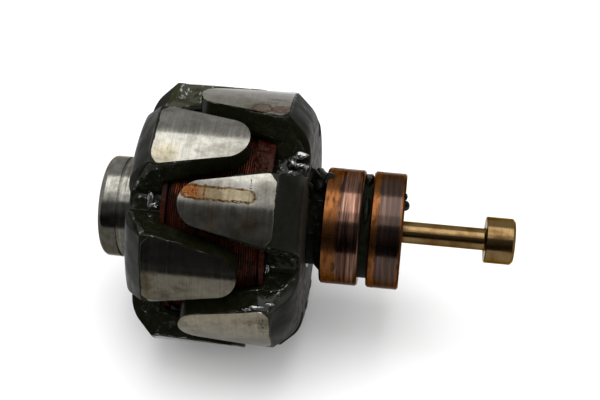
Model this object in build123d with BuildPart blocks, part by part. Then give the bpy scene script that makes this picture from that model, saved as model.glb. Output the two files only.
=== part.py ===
from build123d import *
from math import asin, cos, radians, sin, tan
import os

# Alternator rotor. Two forged six-claw pole pieces close over a field winding on a steel
# hub, which also carries two slip rings and a clamp bolt drawn part of the way out.
# Millimetres. X runs along the shaft axis from the drive end to the slip rings, +Z is up,
# and the origin is the centre of the hub's drive-end face. An angle about the axis is
# counted in degrees from +Z towards -Y.

# Claw poles
rotor_radius = 36.75
claw_count = 6
first_claw_angle = 15.0
pole_thickness = 9.3
bevel_leg = 3.5
bevel_angle = 45.0
bend_radius = 9.2
claw_length = 25.3
claw_pitch_share = 0.4855
claw_side_angle = 10.76
claw_draft = 6.0
claw_root_share = 0.1932
claw_tip_share = 0.1306
claw_root_fillet = 0.8
valley_depth = 11.75
valley_fillet = 2.6
valley_setback = 0.3
lobe_foot_sink = 3.0

# Hub
sleeve_radius = 12.5
collar_step = 2.0
collar_length = 11.7
collar_rim_fillet = 1.6
collar_groove_x = 5.5
collar_groove_width = 0.5
collar_groove_depth = 0.3
nose_step = 3.0
nose_recess = 0.5
nose_chamfer = 0.6
taper_mouth_radius = 9.0
taper_small_radius = 5.8
taper_depth = 32.0
bolt_bore_clearance = 0.3
bore_chamfer = 0.8

# Core and winding
pole_gap = 28.1
core_wall_share = 0.3385
bobbin_wall = 1.2
bobbin_clearance = 0.15
flange_thickness = 1.2
flange_claw_gap = 0.1
winding_below_flange = 0.6
winding_shoulder_fillet = 1.6

# Slip rings and their carrier
neck_step = 1.0
neck_length = 1.9
neck_gap = 4.0
drum_step = 2.5
drum_shoulder = 0.4
ring_wall = 2.45
inner_ring_width = 10.6
ring_spacing = 2.4
outer_ring_width = 9.1
ring_chamfer = 0.5

# Winding leads
lead_radius = 0.6
lead_bend = 1.2
lead_clearance = 0.05
lead_hole_from_bobbin = 1.65
lead_sleeve_wall = 0.5
start_hole_angle = 5.0
start_joint_angle = -2.3
finish_angle = 19.0
channel_above_neck = 1.1
solder_radius = 1.2

# Clamp bolt
bolt_thread_radius = 4.0
bolt_thread_length = 20.0
bolt_shank_radius = 3.1
bolt_length = 75.0
bolt_head_radius = 6.5
bolt_head_height = 8.0
bolt_head_chamfer = 0.7
bolt_under_head_chamfer = 0.3
bolt_head_fillet = 0.6
bolt_tip_chamfer = 1.0
bolt_socket_flats = 6.0
bolt_socket_depth = 4.0
bolt_drawn_out = 23.5

overrun = 1.0

# Derived radii
claw_half_width = rotor_radius * sin(radians(claw_pitch_share * 180 / claw_count))
valley_radius = rotor_radius - valley_depth
claw_root_thickness = rotor_radius * claw_root_share
claw_tip_thickness = rotor_radius * claw_tip_share
flange_radius = rotor_radius - claw_root_thickness - claw_root_fillet - flange_claw_gap
winding_radius = flange_radius - winding_below_flange
core_radius = sleeve_radius + (flange_radius - sleeve_radius) * core_wall_share
collar_radius = sleeve_radius + collar_step
nose_radius = sleeve_radius - nose_step
neck_radius = sleeve_radius - neck_step
drum_radius = neck_radius + drum_step
ring_radius = drum_radius + ring_wall
bobbin_inner_radius = core_radius + bobbin_clearance
bobbin_outer_radius = bobbin_inner_radius + bobbin_wall
bolt_bore_radius = bolt_thread_radius + bolt_bore_clearance
lead_sleeve_radius = lead_radius + lead_clearance + lead_sleeve_wall
lead_hole_radius = bobbin_outer_radius + lead_hole_from_bobbin
channel_radius = neck_radius + channel_above_neck

# Stations along the axis
shoulder_depth = bevel_leg / tan(radians(bevel_angle)) + bend_radius * (1 - cos(radians(bevel_angle)))
drive_face_x = collar_length
core_start_x = drive_face_x + pole_thickness
core_end_x = core_start_x + pole_gap
ring_face_x = core_end_x + pole_thickness
inner_ring_x = ring_face_x + neck_gap
groove_x = inner_ring_x + inner_ring_width
outer_ring_x = groove_x + ring_spacing
rings_end_x = outer_ring_x + outer_ring_width
nose_end_x = rings_end_x - nose_recess
bolt_seat_x = nose_end_x + bolt_drawn_out
winding_start_x = core_start_x + flange_thickness
winding_end_x = core_end_x - flange_thickness
lead_run_x = ring_face_x + lead_radius + 2 * lead_clearance
lead_sleeve_end_x = lead_run_x - lead_bend - lead_clearance


def spoke(angle):
    """Unit vector from the axis at an angle counted from +Z towards -Y."""
    return Vector(0, -sin(radians(angle)), cos(radians(angle)))


def about_axis(x, radius, angle):
    """Point at a station, a radius from the axis and an angle about it."""
    return Vector(x, 0, 0) + spoke(angle) * radius


def claw_pole(face_x, inward, lead_angles):
    """Pole piece whose end face is at face_x and whose claws point along inward, +1 or -1.

    lead_angles are the angles about the axis of the holes that let the leads through.
    """
    half_section = Plane(origin=(face_x, 0, 0), x_dir=(inward, 0, 0), z_dir=(0, -inward, 0))
    end_view = Plane(origin=(face_x, 0, 0), x_dir=(0, 0, 1), z_dir=(inward, 0, 0))
    draft = tan(radians(claw_draft))
    lobe_half_width = claw_half_width - valley_setback
    lobe_height = valley_depth + lobe_foot_sink
    lobe_foot_width = 2 * (lobe_half_width + lobe_height * draft)
    lobe_half_angle = asin((lobe_half_width + valley_depth * draft) / valley_radius)
    valley_half_width = valley_radius * (radians(180 / claw_count) - lobe_half_angle)
    tip_depth = shoulder_depth + claw_length
    # The claw's planform is drawn just above the turned face, where the draft makes it narrower.
    drawn_half_width = claw_half_width - overrun * draft
    drawn_tip_depth = tip_depth - overrun * draft
    finger_length = drawn_tip_depth - pole_thickness
    lean = radians(claw_side_angle)
    tip_radius = (drawn_half_width * cos(lean) - finger_length * sin(lean)) / (1 - sin(lean))
    tip_centre_depth = drawn_tip_depth - tip_radius
    tip_start_depth = tip_centre_depth + tip_radius * sin(lean)
    tip_start_half_width = tip_radius * cos(lean)

    with BuildPart() as pole:
        with BuildSketch(end_view) as web:
            Circle(valley_radius)
            with PolarLocations(valley_radius - lobe_foot_sink, claw_count, first_claw_angle):
                Trapezoid(
                    lobe_foot_width,
                    lobe_height,
                    90 - claw_draft,
                    rotation=-90,
                    align=(Align.CENTER, Align.MIN),
                )
            valley_corners = web.vertices().group_by(SortBy.DISTANCE)[0]
            fillet(valley_corners, min(valley_fillet, valley_half_width))
        extrude(amount=pole_thickness)
        for claw in range(claw_count):
            outward = spoke(inward * (first_claw_angle + claw * 360 / claw_count))
            above_face = Vector(face_x, 0, 0) + outward * (rotor_radius + overrun)
            with BuildSketch(Plane(origin=above_face, x_dir=(inward, 0, 0), z_dir=-outward)):
                with BuildLine():
                    Polyline(
                        (tip_start_depth, -tip_start_half_width),
                        (pole_thickness, -drawn_half_width),
                        (-overrun, -drawn_half_width),
                        (-overrun, drawn_half_width),
                        (pole_thickness, drawn_half_width),
                        (tip_start_depth, tip_start_half_width),
                    )
                    ThreePointArc(
                        (tip_start_depth, tip_start_half_width),
                        (drawn_tip_depth, 0),
                        (tip_start_depth, -tip_start_half_width),
                    )
                make_face()
            extrude(amount=lobe_height + overrun, taper=-claw_draft)
        # The turned outline, intersected with the forging: end face, bevel, claw face, underside.
        with BuildSketch(half_section) as outline:
            with BuildLine():
                bend = JernArc(
                    (0, rotor_radius - bevel_leg - bend_radius * sin(radians(bevel_angle))),
                    (0, 1),
                    bend_radius,
                    -bevel_angle,
                )
                Polyline(
                    bend @ 1,
                    (shoulder_depth, rotor_radius),
                    (tip_depth, rotor_radius),
                    (tip_depth, rotor_radius - claw_tip_thickness),
                    (pole_thickness, rotor_radius - claw_root_thickness),
                    (pole_thickness, sleeve_radius),
                    (0, sleeve_radius),
                    bend @ 0,
                )
            make_face()
            underside = rotor_radius - claw_root_thickness
            fillet(outline.vertices().sort_by_distance((pole_thickness, underside))[0], claw_root_fillet)
        revolve(axis=Axis.X, mode=Mode.INTERSECT)
        for angle in lead_angles:
            hole_mouth = about_axis(face_x, lead_hole_radius, angle)
            with BuildSketch(Plane(origin=hole_mouth, z_dir=(inward, 0, 0))):
                Circle(lead_sleeve_radius + lead_clearance)
            extrude(amount=pole_thickness, mode=Mode.SUBTRACT)
    return pole


def bobbin_flange(start_x, lead_angles):
    """Insulating washer between the winding and a pole, with holes for the leads that pass it."""
    with BuildPart() as flange:
        with BuildSketch(Plane.YZ.offset(start_x)):
            Circle(flange_radius)
            Circle(bobbin_inner_radius, mode=Mode.SUBTRACT)
        extrude(amount=flange_thickness)
        for angle in lead_angles:
            hole = about_axis(start_x, lead_hole_radius, angle)
            with BuildSketch(Plane(origin=hole, z_dir=(1, 0, 0))):
                Circle(lead_sleeve_radius + lead_clearance)
            extrude(amount=flange_thickness, mode=Mode.SUBTRACT)
    return flange


def slip_ring(start_x, width):
    """Copper track pressed on the carrier's drum, with both rims broken."""
    with BuildPart() as ring:
        with BuildSketch(Plane.YZ.offset(start_x)):
            Circle(ring_radius)
            Circle(drum_radius, mode=Mode.SUBTRACT)
        extrude(amount=width)
        rims = ring.edges().filter_by(GeomType.CIRCLE).group_by(SortBy.RADIUS)[-1]
        chamfer(rims, ring_chamfer)
    return ring


def lead_sleeve(angle):
    """Insulating sleeve that takes a lead from the winding through the flange and the pole."""
    mouth = about_axis(winding_end_x, lead_hole_radius, angle)
    with BuildPart() as sleeve:
        with BuildSketch(Plane(origin=mouth, z_dir=(1, 0, 0))):
            Circle(lead_sleeve_radius)
            Circle(lead_radius + lead_clearance, mode=Mode.SUBTRACT)
        extrude(amount=lead_sleeve_end_x - winding_end_x)
    return sleeve


def lead(route):
    """Round wire along straight runs joined by bends."""
    with BuildPart() as wire:
        with BuildLine() as path:
            FilletPolyline(*route, radius=lead_bend)
        with BuildSketch(Plane(origin=path.line @ 0, z_dir=path.line % 0)):
            Circle(lead_radius)
        sweep()
    return wire


def solder_joint(seat, proud, wire_end, wire_towards):
    """Bead of solder that stands proud (+1 or -1 along X) of a ring's face, bored for its wire."""
    with BuildPart() as bead:
        with Locations(Plane(origin=seat, z_dir=(proud, 0, 0))):
            Sphere(solder_radius, arc_size1=0, align=(Align.CENTER, Align.CENTER, Align.MIN))
        with BuildSketch(Plane(origin=wire_end, z_dir=wire_towards)):
            Circle(lead_radius)
        extrude(amount=2 * solder_radius, mode=Mode.SUBTRACT)
    return bead


# Hub: collar, sleeve under the poles and nose under the slip rings, bored for taper and bolt
with BuildPart() as hub_sleeve:
    with BuildSketch(Plane.XZ) as hub_section:
        with BuildLine():
            Polyline(
                (0, taper_mouth_radius),
                (0, collar_radius),
                (collar_length, collar_radius),
                (collar_length, sleeve_radius),
                (ring_face_x, sleeve_radius),
                (ring_face_x, nose_radius),
                (nose_end_x, nose_radius),
                (nose_end_x, bolt_bore_radius),
                (taper_depth, bolt_bore_radius),
                (taper_depth, taper_small_radius),
                close=True,
            )
        make_face()
        fillet(hub_section.vertices().sort_by_distance((0, collar_radius))[0], collar_rim_fillet)
        chamfer(hub_section.vertices().sort_by_distance((nose_end_x, nose_radius))[0], nose_chamfer)
        chamfer(hub_section.vertices().sort_by_distance((nose_end_x, bolt_bore_radius))[0], bore_chamfer)
        with Locations((collar_groove_x, collar_radius)):
            Rectangle(collar_groove_width, 2 * collar_groove_depth, mode=Mode.SUBTRACT)
    revolve(axis=Axis.X)

# Magnet core between the two pole plates
with BuildPart() as pole_core:
    with BuildSketch(Plane.YZ.offset(core_start_x)):
        Circle(core_radius)
        Circle(sleeve_radius, mode=Mode.SUBTRACT)
    extrude(amount=pole_gap)

drive_end_claw_pole = claw_pole(drive_face_x, 1, [])
ring_end_claw_pole = claw_pole(ring_face_x, -1, [start_hole_angle, finish_angle])

# Bobbin tube under the winding
with BuildPart() as bobbin_tube:
    with BuildSketch(Plane.YZ.offset(winding_start_x)):
        Circle(bobbin_outer_radius)
        Circle(bobbin_inner_radius, mode=Mode.SUBTRACT)
    extrude(amount=winding_end_x - winding_start_x)

drive_end_bobbin_flange = bobbin_flange(core_start_x, [])
ring_end_bobbin_flange = bobbin_flange(winding_end_x, [start_hole_angle, finish_angle])

# Field winding, rounded where its outer layers step down at both ends
with BuildPart() as field_winding:
    with BuildSketch(Plane.XZ) as coil_section:
        with BuildLine():
            Polyline(
                (winding_start_x, bobbin_outer_radius),
                (winding_start_x, winding_radius),
                (winding_end_x, winding_radius),
                (winding_end_x, bobbin_outer_radius),
                close=True,
            )
        make_face()
        fillet(coil_section.vertices().group_by(Axis.Y)[-1], winding_shoulder_fillet)
    revolve(axis=Axis.X)

# Moulded carrier of the slip rings, with a neck against the pole and a channel for one lead
with BuildPart() as slip_ring_carrier:
    with BuildSketch(Plane.XZ):
        with BuildLine():
            Polyline(
                (ring_face_x, nose_radius),
                (ring_face_x, neck_radius),
                (ring_face_x + neck_length, neck_radius),
                (inner_ring_x, drum_radius - drum_shoulder),
                (inner_ring_x, drum_radius),
                (nose_end_x, drum_radius),
                (nose_end_x, nose_radius),
                close=True,
            )
        make_face()
    revolve(axis=Axis.X)
    channel_start = about_axis(ring_face_x, channel_radius, finish_angle)
    with BuildSketch(Plane(origin=channel_start, z_dir=(1, 0, 0))):
        Circle(lead_radius + lead_clearance)
    extrude(amount=nose_end_x - ring_face_x, mode=Mode.SUBTRACT)

inner_slip_ring = slip_ring(inner_ring_x, inner_ring_width)
outer_slip_ring = slip_ring(outer_ring_x, outer_ring_width)

# Leads: one to the near rim of the inner ring, one through the carrier to the outer ring's end
joint_radius = drum_radius - drum_shoulder + solder_radius
start_end_x = inner_ring_x - lead_radius - lead_clearance
start_joint = about_axis(start_end_x, joint_radius, start_joint_angle)
start_route = [
    about_axis(winding_end_x, lead_hole_radius, start_hole_angle),
    about_axis(lead_run_x, lead_hole_radius, start_hole_angle),
    start_joint,
]
finish_turn_x = rings_end_x + lead_radius + lead_clearance
finish_joint = about_axis(finish_turn_x, joint_radius, finish_angle)
finish_route = [
    about_axis(winding_end_x, lead_hole_radius, finish_angle),
    about_axis(lead_run_x, lead_hole_radius, finish_angle),
    about_axis(lead_run_x, channel_radius, finish_angle),
    about_axis(finish_turn_x, channel_radius, finish_angle),
    finish_joint,
]
start_lead = lead(start_route)
finish_lead = lead(finish_route)
start_lead_sleeve = lead_sleeve(start_hole_angle)
finish_lead_sleeve = lead_sleeve(finish_angle)

start_seat = about_axis(inner_ring_x, joint_radius, start_joint_angle)
finish_seat = about_axis(rings_end_x, joint_radius, finish_angle)
start_solder_joint = solder_joint(start_seat, -1, start_joint, start_route[1] - start_joint)
finish_solder_joint = solder_joint(finish_seat, 1, finish_joint, finish_route[3] - finish_joint)

# Clamp bolt: socket head, waisted shank and a threaded end guided in the hub's bore
with BuildPart() as clamp_bolt:
    with BuildSketch(Plane.XZ) as bolt_section:
        with BuildLine():
            Polyline(
                (bolt_seat_x - bolt_length, 0),
                (bolt_seat_x - bolt_length, bolt_thread_radius),
                (bolt_seat_x - bolt_length + bolt_thread_length, bolt_thread_radius),
                (bolt_seat_x - bolt_length + bolt_thread_length, bolt_shank_radius),
                (bolt_seat_x, bolt_shank_radius),
                (bolt_seat_x, bolt_head_radius),
                (bolt_seat_x + bolt_head_height, bolt_head_radius),
                (bolt_seat_x + bolt_head_height, 0),
                close=True,
            )
        make_face()
        thread_end = (bolt_seat_x - bolt_length, bolt_thread_radius)
        thread_start = (bolt_seat_x - bolt_length + bolt_thread_length, bolt_thread_radius)
        head_rim = (bolt_seat_x + bolt_head_height, bolt_head_radius)
        chamfer(bolt_section.vertices().sort_by_distance(thread_end)[0], bolt_tip_chamfer)
        chamfer(bolt_section.vertices().sort_by_distance(thread_start)[0], bolt_tip_chamfer)
        chamfer(bolt_section.vertices().sort_by_distance(head_rim)[0], bolt_head_chamfer)
        under_rim = bolt_section.vertices().sort_by_distance((bolt_seat_x, bolt_head_radius))[0]
        chamfer(under_rim, bolt_under_head_chamfer)
        fillet(bolt_section.vertices().sort_by_distance((bolt_seat_x, bolt_shank_radius))[0], bolt_head_fillet)
    revolve(axis=Axis.X)
    with BuildSketch(Plane.YZ.offset(bolt_seat_x + bolt_head_height)):
        RegularPolygon(bolt_socket_flats / 2, 6, major_radius=False)
    extrude(amount=-bolt_socket_depth, mode=Mode.SUBTRACT)

pieces = {
    "hub_sleeve": hub_sleeve,
    "pole_core": pole_core,
    "drive_end_claw_pole": drive_end_claw_pole,
    "ring_end_claw_pole": ring_end_claw_pole,
    "bobbin_tube": bobbin_tube,
    "drive_end_bobbin_flange": drive_end_bobbin_flange,
    "ring_end_bobbin_flange": ring_end_bobbin_flange,
    "field_winding": field_winding,
    "slip_ring_carrier": slip_ring_carrier,
    "inner_slip_ring": inner_slip_ring,
    "outer_slip_ring": outer_slip_ring,
    "start_lead": start_lead,
    "finish_lead": finish_lead,
    "start_lead_sleeve": start_lead_sleeve,
    "finish_lead_sleeve": finish_lead_sleeve,
    "start_solder_joint": start_solder_joint,
    "finish_solder_joint": finish_solder_joint,
    "clamp_bolt": clamp_bolt,
}

os.makedirs("parts", exist_ok=True)
for name, piece in pieces.items():
    piece.part.label = name
    export_step(piece.part, f"parts/{name}.step")
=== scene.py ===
"""Dress a packed claw-pole alternator rotor for its studio picture.

The solids of the frame keep their shapes and take finished materials. The coil is replaced by its turns of
wire, and resin, insulation and drips are added where a used rotor has them. Lengths inside the materials are
in millimetres; pieces are made in metres in the frame of the solids.
"""

import logging
import math
from dataclasses import dataclass
from enum import Enum
from typing import Union

import bmesh
import bpy
from mathutils import Matrix, Vector, noise
from mathutils.bvhtree import BVHTree

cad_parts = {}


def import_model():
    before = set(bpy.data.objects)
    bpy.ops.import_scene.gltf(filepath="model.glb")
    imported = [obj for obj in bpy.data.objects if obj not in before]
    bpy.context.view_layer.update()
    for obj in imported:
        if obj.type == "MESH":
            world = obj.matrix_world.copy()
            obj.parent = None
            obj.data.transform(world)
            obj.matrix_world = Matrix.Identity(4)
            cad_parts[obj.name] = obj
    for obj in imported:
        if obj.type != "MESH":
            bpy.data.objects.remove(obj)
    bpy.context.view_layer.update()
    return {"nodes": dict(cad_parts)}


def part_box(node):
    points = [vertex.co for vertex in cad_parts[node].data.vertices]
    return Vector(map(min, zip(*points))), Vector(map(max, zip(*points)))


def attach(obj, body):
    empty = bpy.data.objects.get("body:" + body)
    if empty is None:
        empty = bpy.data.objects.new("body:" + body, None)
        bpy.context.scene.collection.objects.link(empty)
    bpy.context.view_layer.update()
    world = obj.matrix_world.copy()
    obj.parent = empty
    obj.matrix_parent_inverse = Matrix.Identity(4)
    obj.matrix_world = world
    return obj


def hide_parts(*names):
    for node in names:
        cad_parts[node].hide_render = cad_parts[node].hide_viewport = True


LOG = logging.getLogger("rotor")
MM = 0.001
CLAW_PITCH = 60.0
VALLEY_RADIUS = 25.0
# Numbers of a Mix node's two inputs and of its output, for each kind of mix.
MIX_SOCKETS = {"FLOAT": (2, 3, 0), "VECTOR": (4, 5, 1), "RGBA": (6, 7, 2)}
VECTOR_NAMES = ("Vector", "Place")

Shape = bmesh.types.BMesh
Node = bpy.types.Node
Names = tuple[str, ...]
Colour = tuple[float, float, float]
Feed = Union["Value", float, Colour]
# Low and high end of a step, or the two results of one.
Range = tuple[float, float]
# Features for each millimetre, octaves of finer noise and their weight.
Grain = tuple[float, float, float]
# Features for each millimetre, height, octaves of finer noise and their weight.
Ripple = tuple[float, float, float, float]
# Features for each millimetre along the axis and across it, octaves of finer noise and their weight.
Streaks = tuple[float, float, float, float]


class Body(Enum):
    """Body of the frame that new pieces ride on."""

    ROTOR = "rotor"


class Slot(Enum):
    """Material slots of the record that new pieces take."""

    WIRE = "enamelled_wire"
    PRESSBOARD = "pressboard"
    INSULATOR = "insulator"


class Graph:
    """Node tree of one material or group, with short calls for its nodes."""

    def __init__(self, tree: bpy.types.NodeTree) -> None:
        """Keep the tree that nodes are added to."""
        self.tree = tree

    def node(self, kind: str) -> Node:
        """Add one node of a kind."""
        return self.tree.nodes.new(kind)

    def feed(self, socket: bpy.types.NodeSocket, value: Feed) -> None:
        """Link a socket to a value, or set something plain on it.

        Args:
            socket: Input to be fed.
            value: Value of this tree, or a number, vector or colour.
        """
        if isinstance(value, Value):
            self.tree.links.new(value.socket, socket)
        elif socket.type == "RGBA":
            socket.default_value = (*value, 1.0)
        else:
            socket.default_value = value

    def fill(self, node: Node, **values: Feed) -> None:
        """Feed a node's inputs by name, with underscores for spaces."""
        for name, value in values.items():
            self.feed(node.inputs[name.replace("_", " ")], value)

    def out(self, node: Node, name: Union[str, int] = 0) -> "Value":
        """Take one output of a node."""
        return Value(self, node.outputs[name])

    def math(self, operation: str, first: Feed, second: Feed = 0.0) -> "Value":
        """Combine two numbers by an operation of the Math node."""
        node = self.node("ShaderNodeMath")
        node.operation = operation
        self.feed(node.inputs[0], first)
        self.feed(node.inputs[1], second)
        return self.out(node)

    def vector(self, operation: str, first: Feed, second: Feed) -> "Value":
        """Combine a vector with a second input by an operation of the Vector Math node."""
        node = self.node("ShaderNodeVectorMath")
        node.operation = operation
        self.feed(node.inputs[0], first)
        self.feed(node.inputs["Scale" if operation == "SCALE" else 1], second)
        return self.out(node, "Value" if operation == "DOT_PRODUCT" else "Vector")

    def mix(self, kind: str, share: Feed, low: Feed, high: Feed, blend: str = "MIX") -> "Value":
        """Mix two inputs, with the second alone at a share of 1.

        Args:
            kind: Kind of the inputs, from MIX_SOCKETS.
            share: Share of the second input.
            low: First input.
            high: Second input.
            blend: How colours are combined.

        Returns:
            The mixed value.
        """
        node = self.node("ShaderNodeMix")
        node.data_type = kind
        node.blend_type = blend
        first, second, result = MIX_SOCKETS[kind]
        for number, value in ((0, share), (first, low), (second, high)):
            self.feed(node.inputs[number], value)
        return self.out(node, result)

    def call(self, group: bpy.types.NodeTree, **values: Feed) -> dict[str, "Value"]:
        """Add a node group and feed its inputs by name.

        Args:
            group: Shared node group.
            **values: Inputs, with underscores for spaces.

        Returns:
            The group's outputs by name.
        """
        node = self.node("ShaderNodeGroup")
        node.node_tree = group
        self.fill(node, **values)
        return {socket.name: Value(self, socket) for socket in node.outputs}


class Value:
    """Output of a node, which other values are worked out from."""

    def __init__(self, graph: Graph, socket: bpy.types.NodeSocket) -> None:
        """Keep the tree and the output's socket."""
        self.graph = graph
        self.socket = socket

    def __add__(self, other: Feed) -> "Value":
        """Add a number or a value."""
        return self.graph.math("ADD", self, other)

    def __sub__(self, other: Feed) -> "Value":
        """Take a number or a value away."""
        return self.graph.math("SUBTRACT", self, other)

    def __rsub__(self, other: float) -> "Value":
        """Take this away from a number."""
        return self.graph.math("SUBTRACT", other, self)

    def __mul__(self, other: Feed) -> "Value":
        """Multiply by a number or a value."""
        return self.graph.math("MULTIPLY", self, other)

    def __truediv__(self, other: Feed) -> "Value":
        """Divide by a number or a value."""
        return self.graph.math("DIVIDE", self, other)

    def apply(self, operation: str, other: Feed = 0.0) -> "Value":
        """Use another operation of the Math node."""
        return self.graph.math(operation, self, other)

    def most(self, other: Feed) -> "Value":
        """Take the greater of two values."""
        return self.graph.math("MAXIMUM", self, other)

    def step(self, low: float, high: float, start: float = 0.0, end: float = 1.0) -> "Value":
        """Pass smoothly from start to end while this goes from low to high."""
        node = self.graph.node("ShaderNodeMapRange")
        node.interpolation_type = "SMOOTHSTEP"
        self.graph.fill(node, Value=self, From_Min=low, From_Max=high, To_Min=start, To_Max=end)
        return self.graph.out(node)

    def band(self, low: float, high: float, soft: float) -> "Value":
        """Give 1 while this is between two numbers and 0 outside, with soft ends."""
        return self.step(low - soft, low + soft) * self.step(high - soft, high + soft, 1.0, 0.0)

    def blend(self, low: Feed, high: Feed) -> "Value":
        """Mix two colours, with this as the second one's share."""
        return self.graph.mix("RGBA", self, low, high)

    def level(self, low: Feed, high: Feed) -> "Value":
        """Mix two numbers, with this as the second one's share."""
        return self.graph.mix("FLOAT", self, low, high)

    def shade(self, factor: Feed) -> "Value":
        """Multiply a colour or a vector by a number."""
        return self.graph.vector("SCALE", self, factor)

    def tint(self, by: Colour) -> "Value":
        """Multiply a colour by another."""
        return self.graph.mix("RGBA", 1.0, self, by, "MULTIPLY")

    def parts(self) -> list["Value"]:
        """Split a place into its three numbers."""
        node = self.graph.node("ShaderNodeSeparateXYZ")
        self.graph.feed(node.inputs[0], self)
        return [Value(self.graph, socket) for socket in node.outputs]

    def noise(self, scale: float, detail: float, rough: float = 0.5) -> "Value":
        """Read soft noise at a place, which stays near 0.5.

        Args:
            scale: Features for each millimetre.
            detail: Octaves of finer noise.
            rough: Weight of the finer octaves.

        Returns:
            The noise.
        """
        node = self.graph.node("ShaderNodeTexNoise")
        self.graph.fill(node, Vector=self, Scale=scale, Detail=detail, Roughness=rough)
        return self.graph.out(node)

    def ripple(self, scale: float, height: Feed, detail: float = 1.0, rough: float = 0.3) -> "Value":
        """Read noise that swings about 0, with a height from its lowest to its highest."""
        return (self.noise(scale, detail, rough) - 0.5) * height

    def streaks(self, along: float, across: float, detail: float, rough: float) -> "Value":
        """Read noise with its own scale along the axis and across it."""
        return self.graph.vector("MULTIPLY", self, (along, across, across)).noise(1.0, detail, rough)

    def bump(self, base: Union["Value", None] = None) -> "Value":
        """Turn a height in millimetres into a normal, over a base normal if there is one."""
        node = self.graph.node("ShaderNodeBump")
        self.graph.fill(node, Distance=MM, Height=self)
        if base is not None:
            self.graph.fill(node, Normal=base)
        return self.graph.out(node)


class SharedEffects:
    """Node groups that several finishes use."""

    def __init__(self, claw_radius: float) -> None:
        """Build the groups.

        Args:
            claw_radius: Radius of the turned claw faces, in millimetres.
        """
        self.claw_radius = claw_radius
        self.coordinates = self._coordinates()
        self.turning = self._turning()
        self.stain = self._stain()

    @staticmethod
    def _group(name: str, inputs: Names, outputs: Names) -> tuple[Graph, dict[str, Value], Node]:
        """Make an empty group with named sockets.

        Args:
            name: Name of the group.
            inputs: Names of its inputs.
            outputs: Names of its outputs.

        Returns:
            The graph, the given values by name and the node that takes the results.
        """
        tree = bpy.data.node_groups.new(name, "ShaderNodeTree")
        for way, labels in (("INPUT", inputs), ("OUTPUT", outputs)):
            for label in labels:
                kind = "NodeSocketVector" if label in VECTOR_NAMES else "NodeSocketFloat"
                tree.interface.new_socket(name=label, in_out=way, socket_type=kind)
        graph = Graph(tree)
        entry = graph.node("NodeGroupInput")
        given = {socket.name: Value(graph, socket) for socket in entry.outputs}
        return graph, given, graph.node("NodeGroupOutput")

    def _coordinates(self) -> bpy.types.NodeTree:
        """Turn object coordinates into millimetres, axial place, radius and angle about the axis."""
        graph, given, result = self._group(
            "rotor_coordinates", ("Vector",), ("Place", "Axial", "Radius", "Angle")
        )
        place = given["Vector"].shade(1.0 / MM)
        axial, back, up = place.parts()
        radius = (back * back + up * up).apply("SQRT")
        angle = up.apply("ARCTAN2", back * -1.0).apply("DEGREES")
        graph.fill(result, Place=place, Axial=axial, Radius=radius, Angle=angle)
        return graph.tree

    def _turning(self) -> bpy.types.NodeTree:
        """Lathe lines: fine and broad rings that fade in and out round the part, and smears."""
        graph, given, result = self._group("turning_lines", ("Place",), ("Fine", "Broad", "Smear"))
        graph.fill(
            result,
            Fine=given["Place"].streaks(5.5, 0.09, 2.0, 0.6),
            Broad=given["Place"].streaks(1.3, 0.05, 3.0, 0.6),
            Smear=given["Place"].streaks(0.10, 0.16, 4.0, 0.62),
        )
        return graph.tree

    def _stain(self) -> bpy.types.NodeTree:
        """Rounded patch on a turned face: its inside, its outline and how far along it a point is."""
        edge = 0.12
        graph, given, result = self._group(
            "stain_patch",
            (
                "Place", "Axial", "Angle", "Centre Axial", "Centre Angle",
                "Half Length", "Half Width", "Wobble", "Soft", "Rim",
            ),
            ("Inside", "Outline", "Along"),
        )
        shift = given["Place"].ripple(0.5, given["Wobble"], 4.0, 0.62)
        along = given["Axial"] - given["Centre Axial"]
        arc = (given["Angle"] - given["Centre Angle"]) * math.radians(self.claw_radius)
        corner = given["Half Length"].apply("MINIMUM", given["Half Width"])
        squares: Feed = 0.0
        for offset, half in ((along, given["Half Length"]), (arc, given["Half Width"])):
            past = (offset.apply("ABSOLUTE") - (half - corner)).most(0.0)
            squares = past * past + squares
        reach = squares.apply("SQRT") - corner + shift
        graph.fill(
            result,
            Inside=(reach / given["Soft"]).step(0.2, -0.8),
            Outline=(reach + given["Rim"]).step(-edge, edge) * reach.step(edge, -edge),
            Along=along / given["Half Length"],
        )
        return graph.tree


@dataclass(frozen=True)
class Surface:
    """What a finish paints with: its tree, the groups, places in millimetres and degrees, and lathe lines."""

    graph: Graph
    effects: SharedEffects
    place: Value
    axial: Value
    radius: Value
    angle: Value
    fine: Value
    broad: Value
    smear: Value


@dataclass(frozen=True)
class Finish:
    """Base of every finish: makes a material and hands its shader to paint."""

    name: str
    coat_weight: float = 0.0
    coat_roughness: float = 0.1
    edge_tint: Colour = (1.0, 1.0, 1.0)

    def material(self, effects: SharedEffects) -> bpy.types.Material:
        """Build the material.

        Args:
            effects: Shared node groups.

        Returns:
            The finished material.
        """
        made = bpy.data.materials.new(self.name)
        made.use_nodes = True
        graph = Graph(made.node_tree)
        shader = made.node_tree.nodes["Principled BSDF"]
        graph.fill(
            shader,
            Coat_Weight=self.coat_weight,
            Coat_Roughness=self.coat_roughness,
            Specular_Tint=self.edge_tint,
        )
        source = graph.node("ShaderNodeTexCoord")
        where = graph.call(effects.coordinates, Vector=graph.out(source, "Object"))
        lines = graph.call(effects.turning, Place=where["Place"])
        found = {name.lower(): value for name, value in (where | lines).items()}
        self.paint(shader, Surface(graph, effects, **found))
        LOG.info("finish %s: %d nodes", self.name, len(made.node_tree.nodes))
        return made

    def paint(self, shader: Node, at: Surface) -> None:
        """Fill in the shader's inputs; each finish has its own."""
        raise NotImplementedError


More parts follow.
